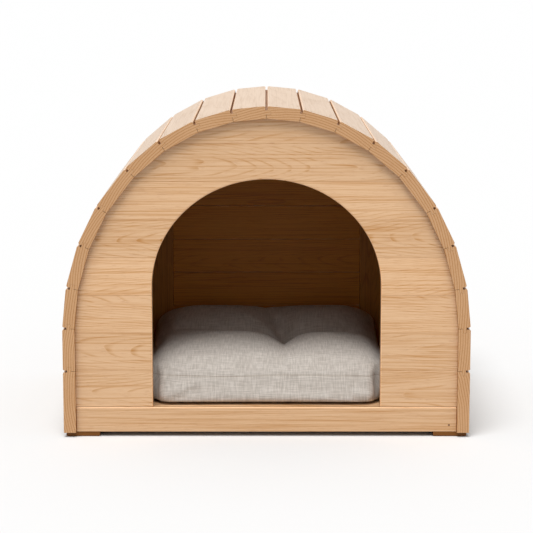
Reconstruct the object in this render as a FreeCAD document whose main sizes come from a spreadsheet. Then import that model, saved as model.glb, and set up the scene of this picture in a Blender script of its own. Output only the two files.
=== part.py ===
import FreeCAD, Part
import math
import os
import Sketcher

# Indoor pet house: a vault of tongued and grooved staves on a rail base, an arched doorway
# in the front panel, a boarded back and a tufted cushion on the floor.
# Millimetres. The origin is on the ground under the middle of the house, +Z is up and the
# doorway faces -Y.

Vector = FreeCAD.Vector
UP = Vector(0, 0, 1)
DOWN = Vector(0, 0, -1)
BACKWARD = Vector(0, 1, 0)
FORWARD = Vector(0, -1, 0)

SIZES = (
    # Overall form
    ("house_width", 600.0),
    ("house_depth", 450.0),
    ("foot_height", 7.0),
    ("wall_height", 149.5),
    ("arch_rise", 334.0),
    # Staves of the vault, with their widths from the crown down to the wall
    ("stave_thickness", 18.0),
    ("stave_gap", 3.4),
    ("stave_lip_gap", 0.5),
    ("stave_chamfer", 1.4),
    ("tongue_offset", 6.2),
    ("tongue_thickness", 5.6),
    ("tongue_length", 8.0),
    ("tongue_clearance", 0.15),
    ("stave_width_1", 48.0),
    ("stave_width_2", 53.0),
    ("stave_width_3", 55.5),
    ("stave_width_4", 59.0),
    ("stave_width_5", 66.5),
    ("stave_width_6", 59.0),
    ("stave_width_7", 63.0),
    ("stave_width_8", 58.5),
    ("stave_width_9", 63.5),
    # Brads through the staves into the walls
    ("nail_diameter", 2.0),
    ("nail_length", 36.0),
    ("nail_edge", 12.0),
    ("nail_clearance", 0.05),
    # Front panel and back boards
    ("panel_recess", 8.0),
    ("panel_thickness", 18.0),
    ("panel_base_gap", 0.8),
    ("door_width", 336.6),
    ("door_wall", 180.0),
    ("door_rise", 159.4),
    ("door_edge_round", 2.0),
    ("back_first_board", 78.0),
    ("back_board_pitch", 56.5),
    ("back_board_gap", 0.6),
    # Battens inside the back wall
    ("batten_inset", 87.0),
    ("batten_width", 19.0),
    ("batten_thickness", 18.0),
    ("batten_top_gap", 10.0),
    # Base frame and floor
    ("rail_height", 37.0),
    ("rail_recess", 6.5),
    ("front_rail_thickness", 36.0),
    ("side_rail_thickness", 18.0),
    ("floor_thickness", 12.0),
    ("floor_clearance", 0.5),
    ("ledger_size", 18.0),
    # Feet
    ("foot_size", 49.0),
    ("foot_inset", 3.5),
    ("foot_set_back", 7.0),
    ("foot_edge_round", 2.0),
    # Screws and dowels
    ("screw_diameter", 3.5),
    ("screw_head_diameter", 7.0),
    ("screw_head_height", 2.2),
    ("screw_recess_width", 0.9),
    ("screw_recess_length", 4.2),
    ("screw_recess_depth", 1.3),
    ("screw_clearance", 0.1),
    ("batten_screw_length", 30.0),
    ("floor_screw_length", 25.0),
    ("foot_screw_length", 16.0),
    ("foot_screw_sink", 0.8),
    ("dowel_diameter", 8.0),
    ("dowel_length", 30.0),
    ("dowel_clearance", 0.1),
    # Cushion
    ("cushion_width", 372.0),
    ("cushion_height", 88.0),
    ("cushion_seam_height", 43.0),
    ("cushion_lip", 12.0),
    ("cushion_edge_round", 26.0),
    ("cushion_waist", 5.0),
    ("cushion_back_lift", 18.0),
    ("cushion_front_gap", 7.0),
    ("cushion_back_gap", 5.0),
    ("cushion_rest_gap", 0.3),
    ("tuft_depth", 34.0),
    ("tuft_offset", 18.0),
    ("cover_thickness", 1.6),
    ("filling_gap", 0.8),
)

doc = FreeCAD.newDocument("pet_house")
sheet = doc.addObject("Spreadsheet::Sheet", "sizes")
for row, (alias, value) in enumerate(SIZES, start=1):
    sheet.set("A%d" % row, alias)
    sheet.set("B%d" % row, str(value))
    sheet.setAlias("B%d" % row, alias)
doc.recompute()


def size(alias):
    """The value that the sheet holds under an alias."""
    return float(sheet.get(alias))


# Derived planes, shared by the pieces that meet on them
inner_half_width = size("house_width") / 2 - size("stave_thickness")
inner_rise = size("arch_rise") - size("stave_thickness")
base_z = size("foot_height")
spring_z = base_z + size("wall_height")
floor_z = base_z + size("rail_height")
wall_middle_y = size("house_depth") / 2 - size("panel_recess") - size("panel_thickness") / 2
panel_inside_y = wall_middle_y - size("panel_thickness") / 2
rail_outside_y = size("house_depth") / 2 - size("rail_recess")
rail_inside_y = rail_outside_y - size("front_rail_thickness")
side_rail_inside_x = inner_half_width - size("side_rail_thickness")
ledger_inside_y = rail_inside_y - size("ledger_size")

EXPRESSIONS = {
    "inner_half_width": "(sizes.house_width / 2 - sizes.stave_thickness)",
    "floor_z": "(sizes.foot_height + sizes.rail_height)",
    "panel_outside_y": "(sizes.house_depth / 2 - sizes.panel_recess)",
    "panel_inside_y": "(sizes.house_depth / 2 - sizes.panel_recess - sizes.panel_thickness)",
    "rail_outside_y": "(sizes.house_depth / 2 - sizes.rail_recess)",
    "rail_inside_y": "(sizes.house_depth / 2 - sizes.rail_recess - sizes.front_rail_thickness)",
    "side_rail_inside_x": "(sizes.house_width / 2 - sizes.stave_thickness - sizes.side_rail_thickness)",
    "batten_outer_x": "(sizes.house_width / 2 - sizes.stave_thickness - sizes.batten_inset)",
    "arch_share": "(1 - sizes.batten_inset / (sizes.house_width / 2 - sizes.stave_thickness))",
    "inner_rise": "(sizes.arch_rise - sizes.stave_thickness)",
    "nail_y": "(sizes.house_depth / 2 - sizes.panel_recess - sizes.panel_thickness / 2)",
    "nail_radius": "(sizes.nail_diameter / 2 + sizes.nail_clearance)",
}


def bind(item, bindings):
    """Tie properties of an object to the sheet: pairs of a property and an expression."""
    for target, expression in bindings.items():
        item.setExpression(target, expression.format(**EXPRESSIONS))


def block(label, corner, edges):
    """A box bound to the sheet, from its lowest corner and its three edge lengths."""
    item = doc.addObject("Part::Box", label)
    names = ("Length", "Width", "Height")
    bind(item, dict(zip(names, edges)))
    bind(item, {"Placement.Base." + axis: place for axis, place in zip("xyz", corner)})
    return item


def boolean(kind, label, base, tool):
    """A cut or a common of two objects."""
    item = doc.addObject(kind, label)
    item.Base = base
    item.Tool = tool
    return item


def solids(label, shapes):
    """A group of separate solids in one object."""
    item = doc.addObject("Part::Feature", label)
    item.Shape = Part.makeCompound(shapes)
    return item


def pointed(shape, place, direction):
    """A shape modelled along +Z, turned to a direction and moved to its place."""
    shape.Placement = FreeCAD.Placement(place, FreeCAD.Rotation(UP, direction))
    return shape


nodes = []


def keep(label, item):
    """Give a finished sub-part its label and put it on the list of pieces."""
    item.Label = label
    nodes.append(item)
    return item


# Line of the vault: joints between staves lie on the inner curve, a quarter ellipse from the
# crown to the springing and then straight down the wall. The lowest stave takes what is left.


def curve_point(turn):
    """Point of the inner curve; past a quarter turn it runs down the wall."""
    quarter = math.pi / 2
    if turn <= quarter:
        return Vector(inner_half_width * math.sin(turn), 0, spring_z + inner_rise * math.cos(turn))
    return Vector(inner_half_width, 0, spring_z - (turn - quarter) * inner_rise)


HALVINGS = 60


def next_turn(turn, chord):
    """Where a straight step of the given length along the inner curve ends, by halving."""
    start = curve_point(turn)
    low, high = turn, turn + math.pi / 2
    for _ in range(HALVINGS):
        middle = (low + high) / 2
        if start.distanceToPoint(curve_point(middle)) < chord:
            low = middle
        else:
            high = middle
    return low


right_joints = [curve_point(0)]
turn = 0.0
for alias in [alias for alias, _ in SIZES if alias.startswith("stave_width_")]:
    turn = next_turn(turn, size(alias))
    right_joints.append(curve_point(turn))
right_joints.append(Vector(inner_half_width, 0, base_z))
left_joints = [Vector(-joint.x, 0, joint.z) for joint in reversed(right_joints)]
joints = left_joints + right_joints[1:]
stave_count = len(joints) - 1


def heading(index):
    """Unit vector along a stave's inner face, clockwise seen from the front."""
    return (joints[index + 1] - joints[index]).normalize()


def joint_lean(index):
    """Half of the turn at a joint: the bevel of the two edges that meet there."""
    if index in (0, stave_count):
        return 0.0
    return heading(index - 1).getAngle(heading(index)) / 2


def plane(body, role):
    """One of a body's own origin planes."""
    return [item for item in body.Origin.OriginFeatures if item.Role == role][0]


def sketch_on(body, name, role):
    """An empty sketch on one of a body's origin planes."""
    sketch = body.newObject("Sketcher::SketchObject", name)
    sketch.AttachmentSupport = [(plane(body, role), "")]
    sketch.MapMode = "FlatFace"
    return sketch


def constrain(sketch, kind, *places, expression=None):
    """Add one constraint, bound to the sheet where an expression is given."""
    index = sketch.addConstraint(Sketcher.Constraint(kind, *places))
    if expression:
        bind(sketch, {"Constraints[%d]" % index: expression})


START, END, MIDDLE = range(1, 4)


def sketch_origin():
    """A sketch's origin is the start of its horizontal axis, which is geometry -1."""
    return -1, START


def joint_side(corner, lean, sign, reaches, offset, thickness):
    """Points up one long edge: inner corner, the tongue or groove, chamfer and outer corner.

    sign is 1 on the leading edge and -1 on the trailing one. reaches are how far the tongue
    stands out from the lip inside it and from the edge outside it; a groove's are negative.
    """
    board = size("stave_thickness")
    chamfer = size("stave_chamfer")
    along = Vector(sign * math.sin(lean), math.cos(lean), 0)
    outward = Vector(sign * math.cos(lean), -math.sin(lean), 0)
    root_low = corner + along * offset
    tip_low = root_low + outward * reaches[0]
    tip_high = tip_low + along * thickness
    root_high = tip_high - outward * reaches[1]
    edge_top = root_high + along * ((board - chamfer - root_high.y) / math.cos(lean))
    outer = edge_top + Vector(-sign * chamfer, chamfer, 0)
    return [corner, root_low, tip_low, tip_high, root_high, edge_top, outer]


def constrain_side(sketch, lines, ends, lean, sign, lengths):
    """Fix one jointed edge. lines are low, near, far, away, high and chamfer, from the inside."""
    low, near, far, away, high, chamfer = lines
    inner, outer = ends
    constrain(sketch, "Angle", low, sign * (math.pi / 2 - lean))
    constrain(sketch, "Distance", low, lengths[0][0], expression=lengths[0][1])
    constrain(sketch, "Perpendicular", near, low)
    constrain(sketch, "Distance", near, lengths[1][0], expression=lengths[1][1])
    constrain(sketch, "Parallel", far, low)
    constrain(sketch, "Distance", far, lengths[2][0], expression=lengths[2][1])
    constrain(sketch, "Parallel", away, near)
    constrain(sketch, "Distance", away, lengths[3][0], expression=lengths[3][1])
    constrain(sketch, "Parallel", high, low)
    bevel = size("stave_chamfer")
    top, shoulder = (chamfer, outer), (chamfer, inner)
    across = (top, shoulder) if sign > 0 else (shoulder, top)
    constrain(sketch, "DistanceX", *across[0], *across[1], bevel, expression="sizes.stave_chamfer")
    constrain(sketch, "DistanceY", *shoulder, *top, bevel, expression="sizes.stave_chamfer")


def stave_profile(sketch, chord, lean_start, lean_end, has_groove, has_tongue):
    """Section of a stave: u runs along the inner face and v outwards through the board."""
    half_gap = size("stave_lip_gap") / 2
    lip = size("stave_gap") / 2 - half_gap
    board = size("stave_thickness")
    offset = size("tongue_offset")
    thick = size("tongue_thickness")
    spare = size("tongue_clearance")
    tongue = size("tongue_length")
    groove = tongue - size("stave_gap") + spare
    start_u = -chord / 2 + (half_gap / math.cos(lean_start) if has_groove else 0.0)
    end_u = chord / 2 - (half_gap / math.cos(lean_end) if has_tongue else 0.0)
    inner_start = Vector(start_u, 0, 0)
    inner_end = Vector(end_u, 0, 0)
    leading = [inner_end, inner_end + Vector(0, board, 0)]
    trailing = [inner_start, inner_start + Vector(0, board, 0)]
    if has_tongue:
        leading = joint_side(inner_end, lean_end, 1, (tongue - lip, tongue), offset, thick)
    if has_groove:
        reaches = (-groove - lip, -groove)
        trailing = joint_side(
            inner_start, lean_start, -1, reaches, offset - spare, thick + 2 * spare
        )
    points = leading + trailing[::-1]
    count = len(points)
    for index in range(count):
        sketch.addGeometry(Part.LineSegment(points[index], points[(index + 1) % count]))
    for index in range(count):
        constrain(sketch, "Coincident", index, END, (index + 1) % count, START)
    inner_face = count - 1
    outer_face = len(leading) - 1
    constrain(sketch, "PointOnObject", inner_face, START, -1)
    constrain(sketch, "Horizontal", inner_face)
    constrain(sketch, "DistanceX", inner_face, START, *sketch_origin(), -start_u)
    constrain(sketch, "DistanceX", *sketch_origin(), inner_face, END, end_u)
    constrain(sketch, "Horizontal", outer_face)
    constrain(
        sketch, "DistanceY", 0, START, outer_face, START, board, expression="sizes.stave_thickness"
    )
    if has_tongue:
        lengths = (
            (offset, "sizes.tongue_offset"),
            (tongue - lip, "sizes.tongue_length - (sizes.stave_gap - sizes.stave_lip_gap) / 2"),
            (thick, "sizes.tongue_thickness"),
            (tongue, "sizes.tongue_length"),
        )
        constrain_side(sketch, range(6), (START, END), lean_end, 1, lengths)
    else:
        constrain(sketch, "Vertical", 0)
    if has_groove:
        lengths = (
            (offset - spare, "sizes.tongue_offset - sizes.tongue_clearance"),
            (
                groove + lip,
                "sizes.tongue_length - (sizes.stave_gap + sizes.stave_lip_gap) / 2 + sizes.tongue_clearance",
            ),
            (thick + 2 * spare, "sizes.tongue_thickness + 2 * sizes.tongue_clearance"),
            (groove, "sizes.tongue_length - sizes.stave_gap + sizes.tongue_clearance"),
        )
        lines = [inner_face - 1 - step for step in range(6)]
        constrain_side(sketch, lines, (END, START), lean_start, -1, lengths)
    else:
        constrain(sketch, "Vertical", inner_face - 1)
    return start_u, end_u


def brad_holes(sketch, places):
    """Circles for the brads of one stave, two at each end of it."""
    nail_y = wall_middle_y
    radius = size("nail_diameter") / 2 + size("nail_clearance")
    origin = sketch_origin()
    for along in places:
        for end in (-1, 1):
            circle = Part.Circle(Vector(along, end * nail_y, 0), UP, radius)
            index = sketch.addGeometry(circle)
            constrain(sketch, "Radius", index, radius, expression="{nail_radius}")
            centre = (index, MIDDLE)
            ends = (origin, centre) if along > 0 else (centre, origin)
            constrain(sketch, "DistanceX", *ends[0], *ends[1], abs(along))
            ends = (origin, centre) if end > 0 else (centre, origin)
            constrain(sketch, "DistanceY", *ends[0], *ends[1], nail_y, expression="{nail_y}")


def stave(index):
    """One stave of the vault with its brad holes, and where its brads are driven."""
    label = "stave_%02d" % (index + 1)
    along = heading(index)
    outward = along.cross(BACKWARD)
    middle = (joints[index] + joints[index + 1]) / 2
    body = doc.addObject("PartDesign::Body", label)
    body.Placement = FreeCAD.Placement(
        middle, FreeCAD.Rotation(along, BACKWARD, outward, "XZY")
    )
    section = sketch_on(body, label + "_section", "XZ_Plane")
    start_u, end_u = stave_profile(
        section,
        joints[index].distanceToPoint(joints[index + 1]),
        joint_lean(index),
        joint_lean(index + 1),
        index > 0,
        index < stave_count - 1,
    )
    board = body.newObject("PartDesign::Pad", label + "_board")
    board.Profile = section
    board.SideType = "Symmetric"
    bind(board, {"Length": "sizes.house_depth"})
    places = (start_u + size("nail_edge"), end_u - size("nail_edge"))
    circles = sketch_on(body, label + "_brads", "XY_Plane")
    brad_holes(circles, places)
    holes = body.newObject("PartDesign::Pocket", label + "_holes")
    holes.Profile = circles
    holes.Type = "ThroughAll"
    holes.SideType = "Symmetric"
    keep(label, body)
    for place in places:
        for end in (-1, 1):
            head = middle + along * place + outward * size("stave_thickness")
            brads.append((head + BACKWARD * (end * wall_middle_y), outward))


brads = []
for index in range(stave_count):
    stave(index)


def brad(radius, length):
    """A headless brad along -Z from its top."""
    return Part.makeCylinder(radius, length, Vector(0, 0, 0), DOWN)


def brad_set(extra):
    """All brads, or with an extra size the holes that they go into."""
    radius = size("nail_diameter") / 2 + extra
    length = size("nail_length") + extra
    return [pointed(brad(radius, length), place, outward) for place, outward in brads]


keep("stave_nails", solids("brads", brad_set(0.0)))
brad_cutter = solids("brad_cutter", brad_set(size("nail_clearance")))


# Screws and dowels: the same places make the pieces and the holes for them.


def screw(length, extra):
    """A countersunk screw along -Z from the top of its head; extra makes its hole."""
    head_radius = size("screw_head_diameter") / 2 + extra
    shank_radius = size("screw_diameter") / 2 + extra
    head_height = size("screw_head_height")
    origin = Vector(0, 0, 0)
    head = Part.makeCone(head_radius, shank_radius, head_height, origin, DOWN)
    body = head.fuse(Part.makeCylinder(shank_radius, length + extra, origin, DOWN))
    if extra:
        return body.removeSplitter()
    width = size("screw_recess_width")
    reach = size("screw_recess_length")
    depth = size("screw_recess_depth")
    slot = Part.makeBox(reach, width, depth, Vector(-reach / 2, -width / 2, -depth))
    cross = Part.makeBox(width, reach, depth, Vector(-width / 2, -reach / 2, -depth))
    return body.cut(slot.fuse(cross)).removeSplitter()


def screw_set(label, length, places):
    """A node of like screws, and the cutter for their holes."""
    spare = size("screw_clearance")
    pieces = [pointed(screw(length, 0.0), place, out) for place, out in places]
    cutters = [pointed(screw(length, spare), place, out) for place, out in places]
    keep(label, solids(label + "_group", pieces))
    return solids(label + "_cutter", cutters)


crown_z = spring_z + inner_rise
# The highest board takes what is left under the crown, up to this many pitches
LAST_BOARD_PITCHES = 1.5
board_edges = [floor_z, floor_z + size("back_first_board")]
while board_edges[-1] + LAST_BOARD_PITCHES * size("back_board_pitch") < crown_z:
    board_edges.append(board_edges[-1] + size("back_board_pitch"))
board_edges.append(crown_z)
board_count = len(board_edges) - 1
batten_outer_x = inner_half_width - size("batten_inset")
batten_head = inner_rise * math.sqrt(1 - (batten_outer_x / inner_half_width) ** 2)
batten_top = spring_z + batten_head - size("batten_top_gap")
batten_lines = [batten_outer_x - size("batten_width") * share for share in (0.5, 1.5)]

back_face_y = wall_middle_y + size("panel_thickness") / 2
screw_rows = []
for low, high in zip(board_edges[:-1], board_edges[1:]):
    top = min(high, batten_top)
    if top - low > 2 * size("screw_head_diameter"):
        screw_rows.append((low + top) / 2)
batten_screw_places = [
    (Vector(side * line, back_face_y, height), BACKWARD)
    for side in (-1, 1)
    for line in batten_lines
    for height in screw_rows
]
batten_screw_cutter = screw_set(
    "batten_screws", size("batten_screw_length"), batten_screw_places
)

FLOOR_SCREW_SHARES = (-5 / 6, -1 / 3, 1 / 3, 5 / 6)
LEDGER_SCREW_SHARES = (-4 / 7, 4 / 7)
ledger_middle_y = (rail_inside_y + ledger_inside_y) / 2
ledger_middle_z = floor_z - size("floor_thickness") - size("ledger_size") / 2
floor_screw_places = [
    (Vector(share * side_rail_inside_x, side * ledger_middle_y, floor_z), UP)
    for share in FLOOR_SCREW_SHARES
    for side in (-1, 1)
]
floor_screw_places += [
    (Vector(0, side * ledger_inside_y / 2, floor_z), UP) for side in (-1, 1)
]
floor_screw_places += [
    (Vector(share * side_rail_inside_x, -side * ledger_inside_y, ledger_middle_z), out)
    for share in LEDGER_SCREW_SHARES
    for side, out in ((1, BACKWARD), (-1, FORWARD))
]
floor_screw_cutter = screw_set("floor_screws", size("floor_screw_length"), floor_screw_places)

# The foot screws go up into the front and back rails, clear of the brads and dowels there
FOOT_SCREW_SHARES = (1 / 3, 2 / 3)
FOOT_SCREW_INSET_SHARE = 1 / 5
foot_low_x = size("house_width") / 2 - size("foot_inset") - size("foot_size")
foot_screw_x = foot_low_x + FOOT_SCREW_INSET_SHARE * size("foot_size")
foot_screw_lines = [
    rail_inside_y + share * size("front_rail_thickness") for share in FOOT_SCREW_SHARES
]
foot_screw_places = [
    (Vector(across * foot_screw_x, along * line, size("foot_screw_sink")), DOWN)
    for across in (-1, 1)
    for along in (-1, 1)
    for line in foot_screw_lines
]
foot_screw_cutter = screw_set("foot_screws", size("foot_screw_length"), foot_screw_places)
sink_radius = size("screw_head_diameter") / 2 + size("screw_clearance")
sink_cutter = solids(
    "foot_sink_cutter",
    [
        Part.makeCylinder(sink_radius, place.z, Vector(place.x, place.y, 0))
        for place, _ in foot_screw_places
    ],
)

RAIL_DOWEL_SHARES = (2 / 5, 7 / 9)
JAMB_DOWEL_SHARES = (1 / 4, 3 / 4)
dowel_radius = size("dowel_diameter") / 2
side_rail_middle_x = inner_half_width - size("side_rail_thickness") / 2
rail_dowel_heights = [base_z + share * size("rail_height") for share in RAIL_DOWEL_SHARES]
dowel_places = [
    (Vector(across * side_rail_middle_x, along * rail_inside_y, height), BACKWARD)
    for across in (-1, 1)
    for along in (-1, 1)
    for height in rail_dowel_heights
]
door_half = size("door_width") / 2
jamb = inner_half_width - door_half
dowel_places += [
    (Vector(across * (door_half + jamb * share), along * wall_middle_y, floor_z), UP)
    for across in (-1, 1)
    for along in (-1, 1)
    for share in JAMB_DOWEL_SHARES
]


def dowel_set(extra):
    """All dowels, centred on the joint that they cross; extra makes their holes."""
    length = size("dowel_length") + 2 * extra
    pieces = []
    for place, direction in dowel_places:
        start = place - direction * (length / 2)
        pieces.append(Part.makeCylinder(dowel_radius + extra, length, start, direction))
    return pieces


keep("frame_dowels", solids("dowels", dowel_set(0.0)))
dowel_cutter = solids("dowel_cutter", dowel_set(size("dowel_clearance")))


# Walls: blanks cut to the inside of the vault, so that their edges lie on the staves.

outline = Part.makePolygon(joints + [joints[0]])
arch_core = doc.addObject("Part::Feature", "arch_core")
arch_core.Shape = Part.Face(outline).extrude(BACKWARD * size("house_depth"))
arch_core.Placement.Base = FORWARD * (size("house_depth") / 2)


def walled(label, blank, cutters):
    """A blank trimmed to the vault and drilled by the given cutters."""
    item = boolean("Part::Common", label + "_trimmed", blank, arch_core)
    for step, cutter in enumerate(cutters, start=1):
        item = boolean("Part::Cut", "%s_drilled_%d" % (label, step), item, cutter)
    return item


front_blank = block(
    "front_panel_blank",
    ("-{inner_half_width}", "-{panel_outside_y}", "{floor_z} + sizes.panel_base_gap"),
    ("2 * {inner_half_width}", "sizes.panel_thickness", "sizes.wall_height + sizes.arch_rise"),
)
door_legs = block(
    "door_legs",
    ("-sizes.door_width / 2", "-sizes.house_depth / 2", "{floor_z}"),
    ("sizes.door_width", "sizes.house_depth / 2", "sizes.door_wall"),
)
door_curve = doc.addObject("Part::Ellipse", "door_curve")
bind(
    door_curve,
    {
        "MajorRadius": "max(sizes.door_width / 2; sizes.door_rise)",
        "MinorRadius": "min(sizes.door_width / 2; sizes.door_rise)",
        "Placement.Base.z": "{floor_z} + sizes.door_wall",
    },
)
long_axis = Vector(1, 0, 0) if door_half >= size("door_rise") else UP
door_curve.Placement.Rotation = FreeCAD.Rotation(long_axis, UP, FORWARD, "ZXY")
door_arch = doc.addObject("Part::Extrusion", "door_arch")
door_arch.Base = door_curve
door_arch.DirMode = "Custom"
door_arch.Dir = FORWARD
door_arch.Solid = True
bind(door_arch, {"LengthFwd": "sizes.house_depth / 2"})
door_opening = boolean("Part::Fuse", "door_opening", door_legs, door_arch)
front_walled = walled("front_panel", front_blank, (door_opening, brad_cutter, dowel_cutter))
doc.recompute()


TOUCHING = 1e-3


def on_door_rim(edge):
    """True for an edge of the doorway on one of the panel's two faces, other than its sill."""
    middle = edge.valueAt((edge.FirstParameter + edge.LastParameter) / 2)
    half_panel = size("panel_thickness") / 2
    on_face = all(abs(abs(v.Y + wall_middle_y) - half_panel) < TOUCHING for v in edge.Vertexes)
    level = all(abs(v.Y - middle.y) < TOUCHING for v in edge.Vertexes)
    high = max(middle.z - floor_z - size("door_wall"), 0.0) / size("door_rise")
    inside = math.hypot(middle.x / door_half, high) < 1 + TOUCHING
    return on_face and level and inside and middle.z > floor_z + TOUCHING


front_panel = doc.addObject("Part::Fillet", "front_panel_eased")
front_panel.Base = front_walled
rim_round = size("door_edge_round")
front_panel.Edges = [
    (number, rim_round, rim_round)
    for number, edge in enumerate(front_walled.Shape.Edges, start=1)
    if on_door_rim(edge)
]
keep("front_panel", front_panel)

half_gap = size("back_board_gap") / 2
for number in range(board_count):
    low = board_edges[number] + (half_gap if number else 0.0)
    high = board_edges[number + 1] - (half_gap if number < board_count - 1 else 0.0)
    label = "back_board_%d" % (number + 1)
    blank = block(
        label + "_blank",
        ("-{inner_half_width}", "{panel_inside_y}", str(low)),
        ("2 * {inner_half_width}", "sizes.panel_thickness", str(high - low)),
    )
    cutters = [brad_cutter]
    if any(low < row < high for row in screw_rows):
        cutters.append(batten_screw_cutter)
    if number == 0:
        cutters.append(dowel_cutter)
    keep(label, walled(label, blank, cutters))

BATTENS = (
    ("batten_left_outer", "-{batten_outer_x}"),
    ("batten_left_inner", "sizes.batten_width - {batten_outer_x}"),
    ("batten_right_inner", "{batten_outer_x} - 2 * sizes.batten_width"),
    ("batten_right_outer", "{batten_outer_x} - sizes.batten_width"),
)
batten_length = (
    "sizes.wall_height - sizes.rail_height - sizes.batten_top_gap"
    " + {inner_rise} * sqrt(1 - {arch_share} ^ 2)"
)
for label, low_x in BATTENS:
    blank = block(
        label + "_blank",
        (low_x, "{panel_inside_y} - sizes.batten_thickness", "{floor_z}"),
        ("sizes.batten_width", "sizes.batten_thickness", batten_length),
    )
    keep(label, walled(label, blank, (batten_screw_cutter,)))


# Base frame: four rails, two ledgers and a bearer under the floor panel.


def drilled(label, blank, cutters):
    """A blank drilled by the given cutters, kept as a finished piece."""
    item = blank
    for step, cutter in enumerate(cutters, start=1):
        item = boolean("Part::Cut", "%s_drilled_%d" % (label, step), item, cutter)
    return keep(label, item)


for label, low_y in (("front_rail", "-{rail_outside_y}"), ("back_rail", "{rail_inside_y}")):
    blank = block(
        label + "_blank",
        ("-{inner_half_width}", low_y, "sizes.foot_height"),
        ("2 * {inner_half_width}", "sizes.front_rail_thickness", "sizes.rail_height"),
    )
    drilled(label, blank, (brad_cutter, dowel_cutter, foot_screw_cutter, floor_screw_cutter))

for label, low_x in (("left_rail", "-{inner_half_width}"), ("right_rail", "{side_rail_inside_x}")):
    blank = block(
        label + "_blank",
        (low_x, "-{rail_inside_y}", "sizes.foot_height"),
        ("sizes.side_rail_thickness", "2 * {rail_inside_y}", "sizes.rail_height"),
    )
    drilled(label, blank, (dowel_cutter,))

LEDGERS = (
    ("front_ledger", "-{rail_inside_y}"),
    ("back_ledger", "{rail_inside_y} - sizes.ledger_size"),
)
for label, low_y in LEDGERS:
    blank = block(
        label + "_blank",
        ("-{side_rail_inside_x}", low_y, "{floor_z} - sizes.floor_thickness - sizes.ledger_size"),
        ("2 * {side_rail_inside_x}", "sizes.ledger_size", "sizes.ledger_size"),
    )
    drilled(label, blank, (floor_screw_cutter,))

bearer_blank = block(
    "floor_bearer_blank",
    (
        "-sizes.ledger_size / 2",
        "sizes.ledger_size - {rail_inside_y}",
        "{floor_z} - sizes.floor_thickness - sizes.ledger_size",
    ),
    ("sizes.ledger_size", "2 * ({rail_inside_y} - sizes.ledger_size)", "sizes.ledger_size"),
)
drilled("floor_bearer", bearer_blank, (floor_screw_cutter,))

floor_blank = block(
    "floor_panel_blank",
    (
        "sizes.floor_clearance - {side_rail_inside_x}",
        "sizes.floor_clearance - {rail_inside_y}",
        "{floor_z} - sizes.floor_thickness",
    ),
    (
        "2 * ({side_rail_inside_x} - sizes.floor_clearance)",
        "2 * ({rail_inside_y} - sizes.floor_clearance)",
        "sizes.floor_thickness",
    ),
)
drilled("floor_panel", floor_blank, (floor_screw_cutter,))


# Feet under the four corners, with eased lower edges and sunk screws.

FEET = (
    ("foot_front_left", -1, -1),
    ("foot_front_right", 1, -1),
    ("foot_back_left", -1, 1),
    ("foot_back_right", 1, 1),
)
near_x = "sizes.house_width / 2 - sizes.foot_inset"
near_y = "sizes.house_depth / 2 - sizes.foot_set_back"
for label, side_x, side_y in FEET:
    blank = block(
        label + "_blank",
        (
            near_x + " - sizes.foot_size" if side_x > 0 else "-(%s)" % near_x,
            near_y + " - sizes.foot_size" if side_y > 0 else "-(%s)" % near_y,
            "0",
        ),
        ("sizes.foot_size", "sizes.foot_size", "sizes.foot_height"),
    )
    doc.recompute()
    eased = doc.addObject("Part::Fillet", label + "_eased")
    eased.Base = blank
    radius = size("foot_edge_round")
    eased.Edges = [
        (number, radius, radius)
        for number, edge in enumerate(blank.Shape.Edges, start=1)
        if all(abs(v.Z) < TOUCHING for v in edge.Vertexes)
    ]
    drilled(label, eased, (foot_screw_cutter, sink_cutter))


# Cushion: a knife-edged pad with a seam at half height, pulled in by one tuft. It is lofted
# front to back through sections of a base line, two side arcs and two lobes.

cushion_front_y = -panel_inside_y + size("cushion_front_gap")
cushion_back_y = panel_inside_y - size("batten_thickness") - size("cushion_back_gap")
cushion_middle_y = (cushion_front_y + cushion_back_y) / 2
cushion_half_depth = (cushion_back_y - cushion_front_y) / 2
cushion_base_z = floor_z + size("cushion_rest_gap")
# Shares and powers that shape the sections between their measured sizes
TUFT_REACH = 0.3
CREST_PULL = 0.6
CHANNEL_SHARE = 0.12
SHOULDER_SHARE = 0.78
THIN_EDGE_SHARE = 0.3
BASE_TUCK_SHARE = 0.8
CORNER_SHARE = 0.7
CROWN_POWER = 4
BASE_POWER = 7
CORNER_POWER = 9
SECTIONS_PER_HALF = 5


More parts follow.
